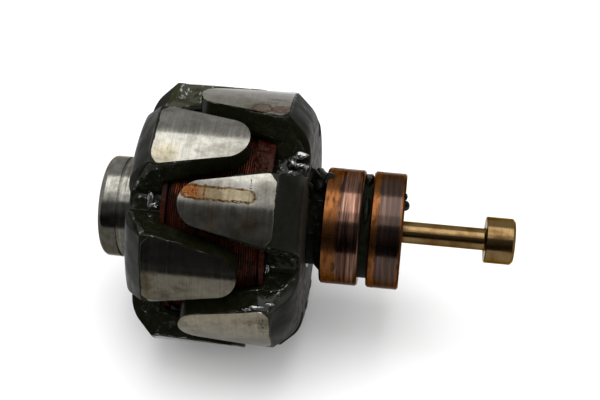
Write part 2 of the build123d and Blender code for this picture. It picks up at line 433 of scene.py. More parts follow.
@dataclass(frozen=True)
class Stain:
    """Rust, dirt, bright wear or painted shade on a turned claw face, with an outline where edge is above 0.
    """

    axial: float
    angle: float
    half_length: float
    half_width: float
    wobble: float
    inside: Colour
    fill: float
    edge: float = 0.0
    outline: Colour = (0.034, 0.0105, 0.0022)
    end_tint: float = 0.0
    clear: bool = False
    speckled: bool = False
    soft: float = 0.25
    rim: float = 0.42


@dataclass(frozen=True)
class ClawFinish(Finish):
    """Turned claw faces over a varnished forging, told apart by radius."""

    steel: Colour = (0.180, 0.174, 0.155)
    dull_steel: Colour = (0.095, 0.090, 0.075)
    varnish: Colour = (0.0052, 0.0056, 0.0024)
    worn_varnish: Colour = (0.0056, 0.0060, 0.0043)
    face_varnish: Colour = (0.0150, 0.0154, 0.0120)
    face_rust: Colour = (0.0185, 0.0140, 0.0090)
    rust: Colour = (0.150, 0.042, 0.0046)
    speck: Colour = (0.045, 0.028, 0.018)
    speck_share: float = 0.7
    steel_gloss: Range = (0.11, 0.19)
    stain_gloss: float = 0.22
    cloudy: Streaks = (0.5, 0.35, 4.0, 0.65)
    mottle: Grain = (1.4, 4.0, 0.68)
    ragged: Ripple = (0.9, 0.18, 4.0, 0.5)
    edge_inner: float = 0.30
    edge_outer: float = 0.15
    shoulder_low: float = 17.9
    shoulder_high: float = 52.2
    face_low: float = 11.9
    face_high: float = 58.2
    edge_round: float = 1.2
    edge_samples: int = 6
    ring_height: float = 0.006
    varnish_shine: float = 0.036
    wall_gloss: float = 0.07
    bevel_gloss: float = 0.06
    cloud: Grain = (0.45, 4.0, 0.6)
    blotch: Grain = (0.9, 5.0, 0.7)
    grit: Ripple = (3.0, 0.015, 2.0, 0.5)
    wall_lumps: Ripple = (0.20, 0.9, 0.5, 0.3)
    creep: float = 1.3
    creep_grain: Grain = (0.30, 4.0, 0.6)
    whole_turns: float = 3600.0
    drive_claw_angle: float = 15.0
    corner_start: float = 11.0
    corner_end: float = 16.5
    corner_depth: float = 2.2
    stains: tuple[Stain, ...] = ()

    def paint(self, shader: Node, at: Surface) -> None:
        """Blend turned steel, stains and varnish."""
        graph, rim = at.graph, at.effects.claw_radius
        turned = self._turned(at)
        steel, gloss = self._turned_face(at)
        dark, sheen, skin, rubbed = self._forging(at)
        rings = (at.fine + (at.broad - 1.0)) * self.ring_height
        rounded = graph.node("ShaderNodeBevel")
        rounded.samples = self.edge_samples
        graph.fill(rounded, Radius=self.edge_round * MM)
        shape = graph.node("ShaderNodeNewGeometry")
        sharp = turned.most(at.radius.step(rim - 1.5, rim - 0.6))
        edges = graph.mix("VECTOR", sharp, graph.out(rounded), graph.out(shape, "Normal"))
        bevel_gloss = at.axial.step(self.shoulder_low, self.shoulder_low + 2.0, self.bevel_gloss, 0.0)
        varnished = turned.most(rubbed).step(0.0, 0.9).level(self.wall_gloss, bevel_gloss)
        graph.fill(
            shader,
            Specular_IOR_Level=self.varnish_shine,
            Base_Color=turned.blend(dark, steel),
            Metallic=turned,
            Coat_Weight=turned.level(varnished, 0.0),
            Roughness=turned.level(sheen, gloss),
            Normal=turned.level(skin, rings).bump(edges),
        )

    def _turned(self, at: Surface) -> Value:
        """Find the turned faces: out at the rim, between the shoulders and clear of their corners."""
        rim, half_pitch = at.effects.claw_radius, 0.5 * CLAW_PITCH
        start, end, depth = self.corner_start, self.corner_end, self.corner_depth
        ragged = at.radius + at.place.ripple(*self.ragged)
        outside = ragged.step(rim - self.edge_inner, rim - self.edge_outer)
        creep = at.place.noise(*self.creep_grain) * self.creep
        from_claw = at.angle + (self.whole_turns - self.drive_claw_angle)
        from_claw = from_claw.apply("PINGPONG", half_pitch)
        from_low = at.axial - (creep + from_claw.step(start, end, 0.0, depth))
        from_high = at.axial + (creep + from_claw.step(half_pitch - start, half_pitch - end, 0.0, depth))
        between = from_low.step(self.shoulder_low - 0.3, self.shoulder_low - 0.1)
        between = between * from_high.step(self.shoulder_high + 0.3, self.shoulder_high + 0.1)
        return outside * between

    def _turned_face(self, at: Surface) -> tuple[Value, Value]:
        """Make the colour and roughness of the turned faces, with stains and painted shade as thin films on
        the steel.

        Args:
            at: What the finish paints with.

        Returns:
            Colour and roughness.
        """
        dull = at.smear.step(0.40, 0.66)
        steel = dull.blend(self.steel, self.dull_steel)
        steel = steel.shade(at.fine.step(0.25, 0.75, 0.86, 1.09))
        steel = steel.shade(at.broad.step(0.25, 0.75, 0.88, 1.07))
        steel = steel.shade(at.place.streaks(*self.cloudy).step(0.34, 0.66, 0.84, 1.08))
        specks = at.place.noise(1.5, 2.0).step(0.71, 0.75)
        steel = (specks * self.speck_share).blend(steel, self.speck)
        gloss = dull.level(*self.steel_gloss) + at.broad.step(0.3, 0.7, -0.02, 0.03)
        mottle = at.place.noise(*self.mottle)
        patchy = mottle.step(0.36, 0.60, 0.35, 1.0)
        speckled = at.place.noise(2.0, 3.0, 0.6).step(0.54, 0.60)
        for stain in self.stains:
            patch = at.graph.call(
                at.effects.stain,
                Place=at.place,
                Axial=at.axial,
                Angle=at.angle,
                Centre_Axial=stain.axial,
                Centre_Angle=stain.angle,
                Half_Length=stain.half_length,
                Half_Width=stain.half_width,
                Wobble=stain.wobble,
                Soft=stain.soft,
                Rim=stain.rim,
            )
            rusty = patch["Along"].step(-0.15, -0.80, 0.0, stain.end_tint)
            rusty = rusty * mottle.step(0.34, 0.56, 0.25, 1.0)
            ground = rusty.blend(steel.tint(stain.inside) if stain.clear else stain.inside, self.rust)
            fill = patch["Inside"] * rusty.level(stain.fill, 1.0)
            if not stain.clear:
                fill = fill * (speckled if stain.speckled else patchy)
            edge = patch["Outline"] * patchy * stain.edge
            steel = edge.blend(fill.blend(steel, ground), stain.outline)
            film = fill * rusty if stain.clear else fill
            gloss = film.most(edge).level(gloss, self.stain_gloss)
        return steel, gloss

    def _forging(self, at: Surface) -> tuple[Value, Value, Value, Value]:
        """Make the look of the varnished forging, and find where it is rubbed dull.

        Args:
            at: What the finish paints with.

        Returns:
            Colour, roughness, height in millimetres and a mask of the rubbed bevels and end faces.
        """
        low, high = self.shoulder_low, self.shoulder_high
        bevels = at.axial.step(low + 0.2, low - 0.4).most(at.axial.step(high - 0.2, high + 0.4))
        wall = self._side_wall(at)
        rubbed = bevels * at.radius.step(VALLEY_RADIUS + 1.0, VALLEY_RADIUS + 5.0) * (1.0 - wall)
        end_face = at.axial.step(self.face_low + 0.3, self.face_low)
        end_face = end_face.most(at.axial.step(self.face_high - 0.3, self.face_high))
        cloud = at.place.noise(*self.cloud).step(0.34, 0.66)
        dark = (rubbed * cloud.level(0.45, 1.0)).blend(self.varnish, self.worn_varnish)
        blotch = at.place.noise(*self.blotch).step(0.30, 0.70, 0.55, 1.45)
        face = cloud.blend(self.face_varnish, self.face_rust).shade(blotch)
        dark = end_face.blend(dark.shade(cloud.step(0.0, 1.0, 0.84, 1.16)), face)
        sheen = rubbed.level(cloud.level(0.14, 0.28), cloud.level(0.34, 0.46))
        sheen = end_face.level(sheen, cloud.level(0.40, 0.60))
        lumps = at.place.ripple(0.42, rubbed.level(0.5, 0.10))
        lumps = wall.level(lumps, at.place.ripple(*self.wall_lumps))
        swells = at.place.ripple(0.11, rubbed.level(0.0, 1.6), 1.0, 0.4)
        height = lumps + swells + at.place.ripple(*self.grit)
        return dark, sheen, height, rubbed.most(end_face * 0.6)

    @staticmethod
    def _side_wall(at: Surface) -> Value:
        """Find the walls of the valleys, which face round the axis and not out from it."""
        shape = at.graph.node("ShaderNodeNewGeometry")
        round_axis = at.graph.vector("CROSS_PRODUCT", at.place, (1.0, 0.0, 0.0))
        facing = at.graph.vector("DOT_PRODUCT", round_axis, at.graph.out(shape, "True Normal"))
        return (facing.apply("ABSOLUTE") / at.radius).step(0.45, 0.7)


@dataclass(frozen=True)
class HubFinish(Finish):
    """Turned steel of the hub, smoother on the outer band of its collar, with painted shade on the collar's
    lower front.
    """

    steel: Colour = (0.178, 0.172, 0.153)
    dull_steel: Colour = (0.115, 0.109, 0.092)
    # Colour, angles and waver of the painted shade on the lower front of the collar.
    lower_shade: Colour = (0.040, 0.036, 0.026)
    lower_shade_angles: Range = (-60.0, 30.0)
    lower_shade_waver: float = 14.0
    dirt: Streaks = (0.9, 0.5, 4.0, 0.65)
    band_edge: float = 5.5

    def paint(self, shader: Node, at: Surface) -> None:
        """Blend the two bands of the collar with smears and rings, and lay painted shade on its lower front.
        """
        dull = at.smear.step(0.44, 0.66)
        ringed = at.axial.step(self.band_edge - 0.1, self.band_edge + 0.1)
        colour = (dull * 0.7).blend(self.steel, self.dull_steel)
        depth = at.broad.step(0.3, 0.7, -1.0, 0.6) * ringed.level(0.14, 0.40)
        colour = colour.shade(depth + 1.0)
        # Painted shade: a dark brownish band over the lower front of the collar, weaker on the ringed band.
        ragged = at.angle + at.smear.step(0.3, 0.7, -self.lower_shade_waver, self.lower_shade_waver)
        film = ragged.band(*self.lower_shade_angles, 12.0) * at.radius.step(13.0, 13.4) * ringed.level(0.85, 0.45)
        colour = film.blend(colour, self.lower_shade)
        colour = colour.shade(at.place.streaks(*self.dirt).step(0.32, 0.66, 0.70, 1.08))
        height = at.broad * ringed.level(0.012, 0.05) + at.fine * 0.010
        at.graph.fill(
            shader,
            Base_Color=colour,
            Metallic=1.0,
            Roughness=dull.level(ringed.level(0.14, 0.15), 0.22),
            Normal=height.bump(),
        )


@dataclass(frozen=True)
class CopperFinish(Finish):
    """Slip-ring copper: an unworn band beside the track that the brush has worn."""

    copper: Colour = (0.112, 0.042, 0.0135)
    track: Colour = (0.165, 0.090, 0.063)
    dark_track: Colour = (0.030, 0.0155, 0.0115)
    sooted_track: Colour = (0.034, 0.025, 0.022)
    soot_share: float = 0.72
    rim: Colour = (0.030, 0.0125, 0.0056)
    rim_share: float = 0.8
    seam: Colour = (0.020, 0.012, 0.009)
    tarnish: Streaks = (0.8, 0.26, 4.0, 0.6)
    waver: Ripple = (0.25, 0.5, 3.0, 0.5)
    first_track: Range = (66.8, 74.0)
    second_track: Range = (77.7, 83.6)
    track_soft: float = 0.18
    face_radius: float = 16.15

    def paint(self, shader: Node, at: Surface) -> None:
        """Blend bands along the axis, with brush lines in the tracks."""
        first, (second, end) = self.first_track[0], self.second_track
        along = at.axial + at.place.ripple(*self.waver)
        worn = along.band(*self.first_track, self.track_soft)
        worn = worn.most(along.band(*self.second_track, self.track_soft))
        track = at.broad.step(0.28, 0.62).blend(self.track, self.dark_track)
        track = track.shade(at.fine.step(0.25, 0.75, 0.55, 1.42))
        sooted = at.axial.step(second - 1.0, second - 0.5) * self.soot_share
        track = sooted.blend(track, self.sooted_track)
        tarnish = at.place.streaks(*self.tarnish).step(0.40, 0.70)
        fresh = (tarnish * self.rim_share).blend(self.copper, self.rim)
        fresh = fresh.shade(at.fine.step(0.25, 0.75, 0.85, 1.12))
        seams = along.band(first - 0.5, first + 0.5, 0.3).most(along.band(second - 0.2, second + 0.05, 0.1))
        seams = seams * tarnish.step(0.0, 0.7, 0.25, 0.85)
        colour = seams.blend(worn.blend(fresh, track), self.seam)
        sides = at.radius.step(self.face_radius, self.face_radius - 0.3)
        sides = sides.most(at.axial.step(end + 0.1, end + 0.5))
        height = at.broad * worn.level(0.008, 0.03) + at.fine * worn.level(0.006, 0.014)
        brushed = at.fine.step(0.3, 0.7, 0.24, 0.11)
        at.graph.fill(
            shader,
            Base_Color=(sides * self.rim_share).blend(colour, self.rim),
            Metallic=1.0,
            Roughness=worn.level(tarnish.level(0.25, 0.46), brushed),
            Normal=height.bump(),
        )


@dataclass(frozen=True)
class BoltFinish(Finish):
    """Yellow zinc on a turned bolt, stained in patches."""

    zinc: Colour = (0.132, 0.087, 0.039)
    stained_zinc: Colour = (0.080, 0.043, 0.0155)
    patches: Grain = (0.22, 3.0, 0.55)
    grit: Grain = (2.6, 3.0, 0.6)

    def paint(self, shader: Node, at: Surface) -> None:
        """Blend clean and stained zinc with turning lines."""
        stained = at.place.noise(*self.patches).step(0.38, 0.68)
        colour = stained.blend(self.zinc, self.stained_zinc)
        height = at.fine * 0.008 + at.place.noise(*self.grit) * 0.004
        at.graph.fill(
            shader,
            Base_Color=colour.shade(at.fine.step(0.25, 0.75, 0.86, 1.10)),
            Metallic=1.0,
            Roughness=stained.level(0.15, 0.27),
            Normal=height.bump(),
        )


@dataclass(frozen=True)
class WireFinish(Finish):
    """Enamelled copper under old varnish, with copper showing on the crowns of the turns and a painted
    highlight along them.
    """

    enamel: Colour = (0.019, 0.0042, 0.0018)
    # Colour of the crowns: bare copper, lightened as a painted highlight.
    copper: Colour = (0.085, 0.019, 0.0062)
    soot: Colour = (0.0046, 0.0022, 0.0015)
    soot_share: float = 0.8
    shine: float = 0.10
    bare_and_glint: Streaks = (1.1, 0.16, 3.0, 0.6)
    dirt: Grain = (0.28, 4.0, 0.6)
    grain_height: float = 0.10
    crown_radius: float = 28.0

    def paint(self, shader: Node, at: Surface) -> None:
        """Blend enamel, bare crowns with a painted highlight, and soot."""
        # Bare copper and painted highlight: the outer crowns of the turns take the lighter copper colour in
        # streaks.
        crown = at.radius.step(self.crown_radius - 0.25, self.crown_radius + 0.08)
        glow = at.place.streaks(*self.bare_and_glint).step(0.46, 0.62) * crown.level(0.15, 1.0)
        dirt = at.place.noise(*self.dirt).step(0.46, 0.64)
        at.graph.fill(
            shader,
            Specular_IOR_Level=self.shine,
            Base_Color=(dirt * self.soot_share).blend(glow.blend(self.enamel, self.copper), self.soot),
            Metallic=glow.level(0.5, 0.9),
            Roughness=dirt.level(0.24, 0.42),
            Normal=(at.place.noise(1.6, 3.0) * self.grain_height).bump(),
        )


@dataclass(frozen=True)
class BoardFinish(Finish):
    """Red-brown pressboard soaked in varnish."""

    board: Colour = (0.025, 0.0053, 0.0022)
    soaked: Colour = (0.0120, 0.0030, 0.0016)
    shine: float = 0.03
    soak: Grain = (0.38, 4.0, 0.6)
    fibre: Grain = (2.4, 3.0, 0.6)
    skin_height: float = 0.35

    def paint(self, shader: Node, at: Surface) -> None:
        """Blend dry and soaked board with a lumpy skin."""
        soak = at.place.noise(*self.soak).step(0.40, 0.62)
        fibre = at.place.noise(*self.fibre).step(0.3, 0.7, 0.75, 1.25)
        at.graph.fill(
            shader,
            Specular_IOR_Level=self.shine,
            Base_Color=soak.blend(self.board, self.soaked).shade(fibre),
            Roughness=soak.level(0.38, 0.20),
            Normal=(at.place.noise(0.7, 3.0) * self.skin_height).bump(),
        )


@dataclass(frozen=True)
class ResinFinish(Finish):
    """Black resin and moulded insulator, from glossy to dusty."""

    resin: Colour = (0.0038, 0.0040, 0.0022)
    dust: Colour = (0.0085, 0.0090, 0.0050)
    dusty: Grain = (0.5, 4.0, 0.62)
    gloss: float = 0.05
    dull: float = 0.20
    lump_height: float = 0.22
    lumps: Grain = (0.55, 2.0, 0.4)
    grain_height: float = 0.012
    density: float = 1.5
    shine: float = 0.5
    dry_coat: float = 0.0
    wet: Grain = (0.55, 3.0, 0.6)
    coat_density: float = 1.5
    thick_resin: Colour = (0.0260, 0.0280, 0.0085)
    thick_angles: Range = (90.0, 128.0)
    thick_waver: Ripple = (0.3, 60.0, 3.0, 0.6)
    thick_end: float = 34.0
    thick_share: float = 0.0

    def paint(self, shader: Node, at: Surface) -> None:
        """Blend clean resin with dust over a wavy skin, and with a thicker colour where there is one."""
        if self.coat_weight > self.dry_coat:
            wet = at.place.noise(*self.wet).step(0.575, 0.65)
            at.graph.fill(shader, Coat_Weight=wet.level(self.dry_coat, self.coat_weight))
        dusty = at.place.noise(*self.dusty).step(0.44, 0.68)
        skin = at.place.noise(*self.lumps) * self.lump_height
        skin = skin + at.place.noise(3.5, 2.0) * self.grain_height
        colour = dusty.blend(self.resin, self.dust)
        if self.thick_share > 0.0:
            uneven = at.angle + at.place.ripple(*self.thick_waver)
            thick = uneven.band(*self.thick_angles, 9.0) * self.thick_share
            thick = thick * at.axial.step(self.thick_end, self.thick_end - 4.0)
            colour = thick.blend(colour, self.thick_resin)
        at.graph.fill(
            shader,
            IOR=self.density,
            Specular_IOR_Level=self.shine,
            Coat_IOR=self.coat_density,
            Base_Color=colour,
            Roughness=dusty.level(self.gloss, self.dull),
            Normal=skin.bump(),
        )


def finished(name: str, shape: Shape, material: bpy.types.Material) -> bpy.types.Object:
    """Turn a shape into an object of the scene.

    Args:
        name: Name of the object and its mesh.
        shape: Finished shape, in metres; it is freed.
        material: Material of the whole object.

    Returns:
        The object.
    """
    mesh = bpy.data.meshes.new(name)
    shape.to_mesh(mesh)
    shape.free()
    mesh.materials.append(material)
    made = bpy.data.objects.new(name, mesh)
    bpy.context.scene.collection.objects.link(made)
    return made


@dataclass
class Studio:
    """Pale floor and room, softboxes overhead, a dark card in front and the camera."""

    floor_height: float = -36.75 * MM
    floor_half: float = 3.0
    floor_colour: Colour = (0.84, 0.84, 0.84)
    floor_lift: float = 0.06
    card_outline: tuple[Range, ...] = ((-0.20, -0.036), (-0.56, -0.036), (-0.62, 0.04), (-0.62, 0.74))
    card_half: float = 0.90
    card_colour: Colour = (0.035, 0.035, 0.035)
    card_top_colour: Colour = (0.19, 0.19, 0.19)
    card_fade: Range = (0.10, 0.45)
    softbox_height: float = 0.50
    softbox_middle: float = 0.020
    softbox_width: float = 0.36
    overhead_reach: Range = (-0.19, 0.18)
    overhead_radiance: float = 4.0
    front_reach: Range = (-0.40, -0.19)
    front_radiance: float = 1.3
    surround: float = 0.92
    lens: float = 64.78
    sensor: float = 36.0
    near: float = 0.01
    camera_place: tuple[float, float, float] = (0.08357, -0.2303, 0.2024)
    camera_right: tuple[float, float, float] = (0.9915, 0.1297, 0.0090)
    camera_ahead: tuple[float, float, float] = (-0.0938, 0.7613, -0.6416)

    def build(self) -> None:
        """Make everything that isn't part of the object."""
        self._floor()
        self._card()
        self._softbox("overhead_softbox", self.overhead_reach, self.overhead_radiance)
        self._softbox("front_softbox", self.front_reach, self.front_radiance)
        self._surroundings()
        self._camera()
        bpy.context.scene.view_settings.view_transform = "Standard"

    def _floor(self) -> None:
        """Lay a pale floor that shows as near white and still takes the shadow."""
        shape = bmesh.new()
        bmesh.ops.create_grid(shape, x_segments=2, y_segments=2, size=self.floor_half)
        bmesh.ops.translate(shape, verts=shape.verts, vec=(0.0, 0.0, self.floor_height))
        material = bpy.data.materials.new("floor_paper")
        material.use_nodes = True
        material.node_tree.nodes.clear()
        graph = Graph(material.node_tree)
        output = graph.node("ShaderNodeOutputMaterial")
        paper = graph.node("ShaderNodeBsdfDiffuse")
        glow = graph.node("ShaderNodeEmission")
        both = graph.node("ShaderNodeAddShader")
        rays = graph.node("ShaderNodeLightPath")
        seen = graph.out(rays, "Is Camera Ray").most(graph.out(rays, "Is Glossy Ray"))
        seen = seen.most(graph.out(rays, "Is Transmission Ray"))
        graph.fill(paper, Color=self.floor_colour)
        graph.fill(glow, Strength=seen * self.floor_lift)
        graph.feed(both.inputs[0], graph.out(paper))
        graph.feed(both.inputs[1], graph.out(glow))
        graph.fill(output, Surface=graph.out(both))
        floor = finished("floor", shape, material)

    def _card(self) -> None:
        """Set up a dark bent card in front, which gives the polished faces their dark halves.

        It lies on the floor outside the picture and rises behind the camera. Only reflections see it, so that
        the floor and the room stay pale from every side.
        """
        shape = bmesh.new()
        outline = [shape.verts.new((-self.card_half, depth, height)) for depth, height in self.card_outline]
        edges = [shape.edges.new(pair) for pair in zip(outline, outline[1:])]
        swept = bmesh.ops.extrude_edge_only(shape, edges=edges)
        moved = [item for item in swept["geom"] if isinstance(item, bmesh.types.BMVert)]
        bmesh.ops.translate(shape, verts=moved, vec=(2.0 * self.card_half, 0.0, 0.0))
        material = bpy.data.materials.new("dark_card")
        material.use_nodes = True
        graph = Graph(material.node_tree)
        place = graph.out(graph.node("ShaderNodeTexCoord"), "Object")
        high = place.parts()[2].step(*self.card_fade)
        graph.fill(
            material.node_tree.nodes["Principled BSDF"],
            Roughness=1.0,
            Specular_IOR_Level=0.0,
            Base_Color=high.blend(self.card_colour, self.card_top_colour),
        )
        card = finished("dark_card", shape, material)
        card.visible_camera = False
        card.visible_diffuse = False
        card.visible_shadow = False

    def _softbox(self, name: str, reach: Range, radiance: float) -> None:
        """Hang a softbox level over the object.

        Args:
            name: Name of the lamp.
            reach: Where it begins and ends from front to back, in metres.
            radiance: Brightness of its face, where 1 is white.
        """
        lamp = bpy.data.lights.new(name, "AREA")
        lamp.shape = "RECTANGLE"
        lamp.size, lamp.size_y = self.softbox_width, reach[1] - reach[0]
        lamp.energy = radiance * math.pi * lamp.size * lamp.size_y
        holder = bpy.data.objects.new(name, lamp)
        holder.location = (self.softbox_middle, sum(reach) / 2.0, self.softbox_height)
        bpy.context.scene.collection.objects.link(holder)

    def _surroundings(self) -> None:
        """Fill the room with even pale light."""
        world = bpy.data.worlds.new("studio_room")
        bpy.context.scene.world = world
        world.use_nodes = True
        background = world.node_tree.nodes["Background"]
        background.inputs["Color"].default_value = (1.0, 1.0, 1.0, 1.0)
        background.inputs["Strength"].default_value = self.surround

    def _camera(self) -> None:
        """Stand the camera where the photograph was taken from."""
        lens = bpy.data.cameras.new("camera")
        lens.lens = self.lens
        lens.sensor_width = self.sensor
        lens.clip_start = self.near
        holder = bpy.data.objects.new("camera", lens)
        right = Vector(self.camera_right).normalized()
        back = -Vector(self.camera_ahead).normalized()
        up = back.cross(right).normalized()
        right = up.cross(back)
        turned = Matrix((right, up, back)).transposed().to_4x4()
        holder.matrix_world = Matrix.Translation(Vector(self.camera_place)) @ turned
        bpy.context.scene.collection.objects.link(holder)
        bpy.context.scene.camera = holder


class Workshop:
    """Makes pieces and puts them on their body."""

    def __init__(self, nodes: dict[str, bpy.types.Object], effects: SharedEffects) -> None:
        """Keep the frame's nodes and the shared effects."""
        self.nodes = nodes
        self.effects = effects

    def paint(self, finish: Finish, *names: str) -> bpy.types.Material:
        """Give CAD nodes a finish.

        Args:
            finish: Finish to be made.
            *names: Nodes that take it.

        Returns:
            The finish's material, for new pieces.
        """
        material = finish.material(self.effects)
        for name in names:
            for slot in self.nodes[name].material_slots:
                slot.material = material
        return material

    def piece(self, name: str, shape: Shape, material: bpy.types.Material, slot: Slot) -> bpy.types.Object:
        """Turn a shape into a smooth piece that rides on the rotor.

        Args:
            name: Name of the piece.
            shape: Finished shape, in metres; it is freed.
            material: Material of the piece.
            slot: Slot of the record that it belongs to; not used.

        Returns:
            The piece's object.
        """
        bmesh.ops.remove_doubles(shape, verts=shape.verts, dist=1e-7)
        bmesh.ops.recalc_face_normals(shape, faces=shape.faces)
        for face in shape.faces:
            face.smooth = True
        made = finished(name, shape, material)
        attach(made, Body.ROTOR.value)
        LOG.info("piece %s: %d faces", name, len(made.data.polygons))
        return made


def on_rotor(axial: float, angle: float, radius: float) -> Vector:
    """Find a point about the axis.

    Args:
        axial: Distance along the axis, in millimetres.
        angle: Degrees from the front towards the top.
        radius: Distance from the axis, in millimetres.

    Returns:
        The point, in metres.
    """
    turn = math.radians(angle)
    return Vector((axial, -radius * math.cos(turn), radius * math.sin(turn))) * MM


def between(start: float, end: float, share: float) -> float:
    """Go a share of the way from start to end."""
    return start + (end - start) * share


def lump(place: Vector, size: float, seed: float) -> float:
    """Read smooth noise of about -1 to 1 at a place in metres, with features of a size in millimetres."""
    return noise.noise(place / (size * MM) + Vector((seed, -seed, 0.5 * seed)))


def sheet(made: Shape, rows: int, columns: int) -> list[bmesh.types.BMVert]:
    """Add a flat grid that goes from -1 to 1 both ways, and give its vertices."""
    return bmesh.ops.create_grid(made, x_segments=rows, y_segments=columns, size=1.0)["verts"]


def back_sheet(made: Shape, verts: list[bmesh.types.BMVert], drop: float, arc: float = 0.0) -> None:
    """Close a sheet with a copy of itself that is sunk into the piece below.

    Args:
        made: Shape that holds the sheet.
        verts: The sheet's vertices.
        drop: How far the copy goes towards the axis, in millimetres.
        arc: How far it goes round the axis, in millimetres.
    """
    faces = list(dict.fromkeys(face for vert in verts for face in vert.link_faces))
    grown = bmesh.ops.extrude_face_region(made, geom=faces)
    for item in grown["geom"]:
        if isinstance(item, bmesh.types.BMVert):
            radius = math.hypot(item.co.y, item.co.z) / MM
            turned = Matrix.Rotation(-arc / radius, 3, "X") @ item.co
            share = 1.0 - drop / radius
            item.co = (turned.x, turned.y * share, turned.z * share)


@dataclass
class FieldCoil:
    """Winding made of turns of round wire with sunken shoulders."""

    start: float
    end: float
    outer_radius: float
    inner_radius: float = 20.0
    pitch: float = 0.62
    wire_points: int = 5
    wire_start: float = 0.12
    wire_span: float = 0.76
    steps: int = 144
    shoulder: float = 1.5
    waver: float = 0.10
    waver_size: float = 5.0
    waver_seed: float = 3.1
    waver_sink: float = 0.6

    def shape(self) -> Shape:
        """Spin the scalloped outline of the turns about the axis.

        Returns:
            The closed coil.
        """
        made = bmesh.new()
        turns = round((self.end - self.start) / self.pitch)
        pitch = (self.end - self.start) / turns
        outline = [made.verts.new(on_rotor(self.start, 0.0, self.inner_radius))]
        for turn in range(turns):
            middle = self.start + (turn + 0.5) * pitch
            from_end = min(middle - self.start, self.end - middle)
            sink = max(0.0, self.shoulder - from_end) ** 2 / self.shoulder
            for point in range(self.wire_points):
                sweep = math.pi * (self.wire_start + self.wire_span * point / (self.wire_points - 1))
                axial = middle - 0.5 * pitch * math.cos(sweep)
                radius = self.outer_radius - sink - 0.5 * pitch * (1.0 - math.sin(sweep))
                outline.append(made.verts.new(on_rotor(axial, 0.0, radius)))
        outline.append(made.verts.new(on_rotor(self.end, 0.0, self.inner_radius)))
        edges = [made.edges.new(pair) for pair in zip(outline, outline[1:])]
        edges.append(made.edges.new((outline[-1], outline[0])))
        bmesh.ops.spin(
            made, geom=outline + edges, cent=(0.0, 0.0, 0.0), axis=(1.0, 0.0, 0.0), angle=math.tau,
            steps=self.steps, use_merge=True,
        )
        inside = self.inner_radius * MM * 1.02
        for vert in made.verts:
            out = Vector((0.0, vert.co.y, vert.co.z))
            if out.length > inside:
                drift = self.waver * (lump(vert.co, self.waver_size, self.waver_seed) - self.waver_sink) * MM
                vert.co += out.normalized() * drift
        return made


@dataclass
class ResinPool:
    """Resin that has set on the floor of a valley between two lobes of a pole."""

    angle: float
    start: float
    end: float
    seed: float
    depth: float
    half_angle: float = 17.0
    sunk: float = 1.6
    skirt: float = 0.25
    least: float = 0.35
    swell: float = 0.55
    lump_size: float = 2.6
    lump_share: float = 0.75
    fine_size: float = 1.7
    fine_share: float = 0.2
    climb: float = 1.6
    climb_from: float = 0.62
    fade_rate: float = 4.0
    rows: int = 26
    columns: int = 34

    def add_to(self, made: Shape) -> None:
        """Add the pool, which climbs a little at the lobes, to a shape.

        Args:
            made: Shape that takes the pool.
        """
        verts = sheet(made, self.rows, self.columns)
        for vert in verts:
            along, across = vert.co.x, vert.co.y
            axial = between(self.start, self.end, (along + 1.0) / 2.0)
            angle = self.angle + across * self.half_angle
            ground = on_rotor(axial, angle, VALLEY_RADIUS)
            swell = self.swell + self.lump_share * lump(ground, self.lump_size, self.seed)
            swell += self.fine_share * lump(ground, self.fine_size, self.seed + 4.0)
            past = max(0.0, abs(across) - self.climb_from) / (1.0 - self.climb_from)
            fade = min(1.0, (1.0 - abs(along)) * self.fade_rate)
            height = fade * (self.depth * max(0.0, swell) + self.least + self.climb * past**2) - self.skirt
            vert.co = on_rotor(axial, angle, VALLEY_RADIUS + height)
        back_sheet(made, verts, self.sunk)


